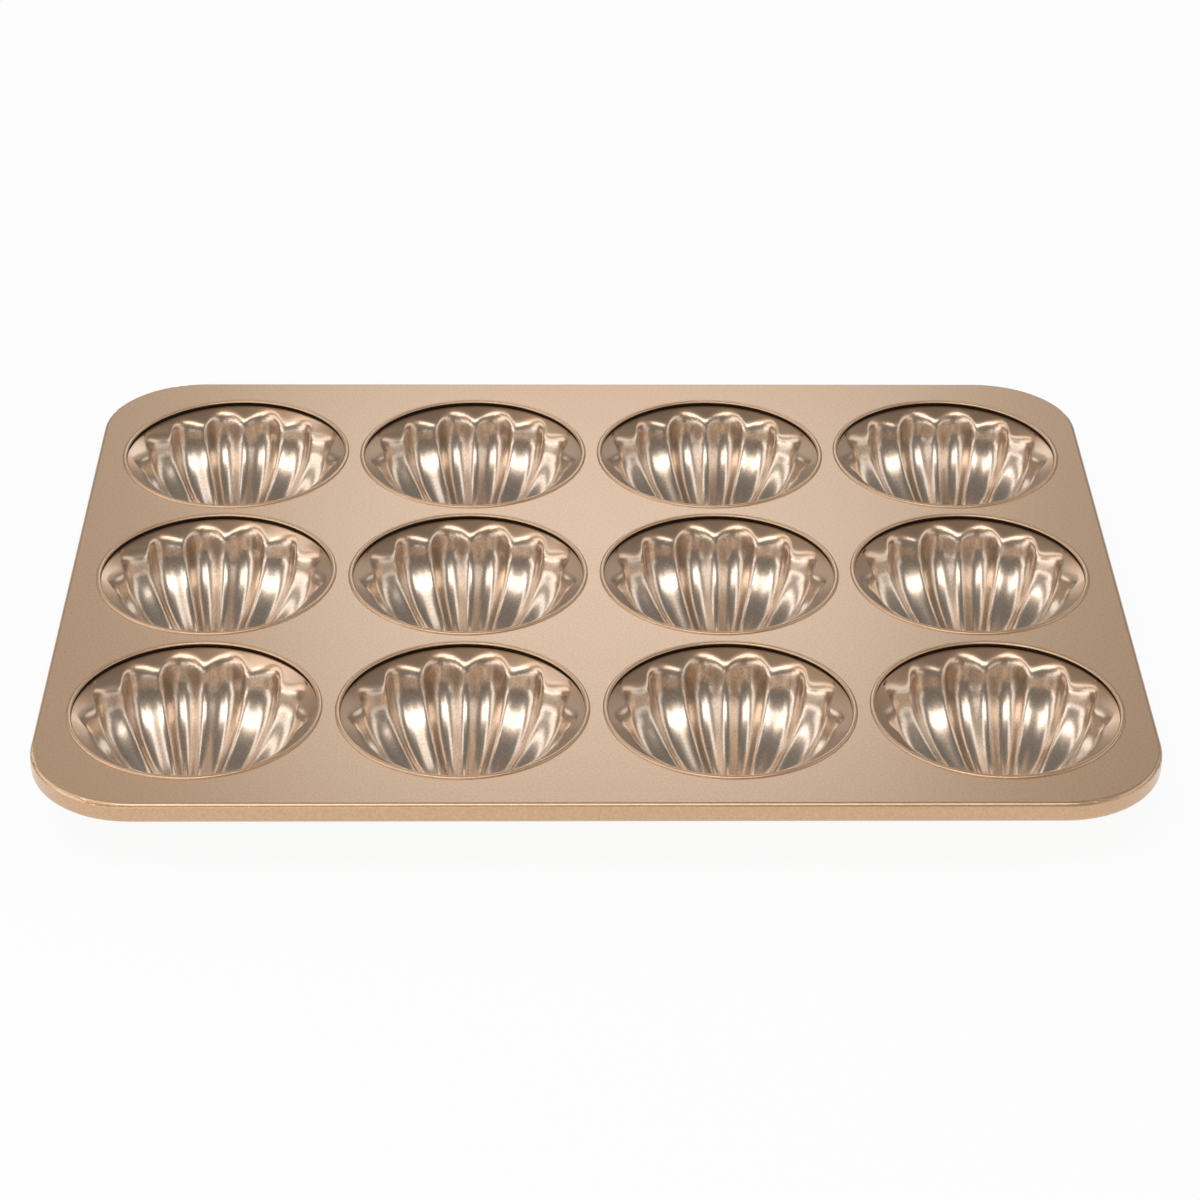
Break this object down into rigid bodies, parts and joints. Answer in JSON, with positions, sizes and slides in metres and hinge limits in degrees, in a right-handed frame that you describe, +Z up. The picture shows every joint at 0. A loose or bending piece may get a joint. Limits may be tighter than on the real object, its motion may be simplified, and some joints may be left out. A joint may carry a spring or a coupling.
{
  "type": "madeleine pan",
  "caption": "Sheet-metal baking pan with rounded corners and a turned-down rim, holding rows of round fluted shell cups for baking madeleines.",
  "frame": {"origin": "middle of the plane that the pan rests on, under the middle of the tray", "axes": "+X along the tray's long side, +Y towards its back edge, +Z up out of the cups"},
  "size_m": [0.312, 0.246, 0.0241],
  "materials": {
    "tray_coating": "satin non-stick coating with fine metal flake",
    "cup_coating": "smooth non-stick coating, glossier than the tray's",
    "wire": "bare drawn steel wire"
  },
  "bodies": {
    "root": {"tray_plate": "tray_coating", "rim_wire": "wire", "cup_back_1": "cup_coating", "cup_back_2": "cup_coating", "cup_back_3": "cup_coating", "cup_back_4": "cup_coating", "cup_middle_1": "cup_coating", "cup_middle_2": "cup_coating", "cup_middle_3": "cup_coating", "cup_middle_4": "cup_coating", "cup_front_1": "cup_coating", "cup_front_2": "cup_coating", "cup_front_3": "cup_coating", "cup_front_4": "cup_coating"}
  },
  "joints": []
}
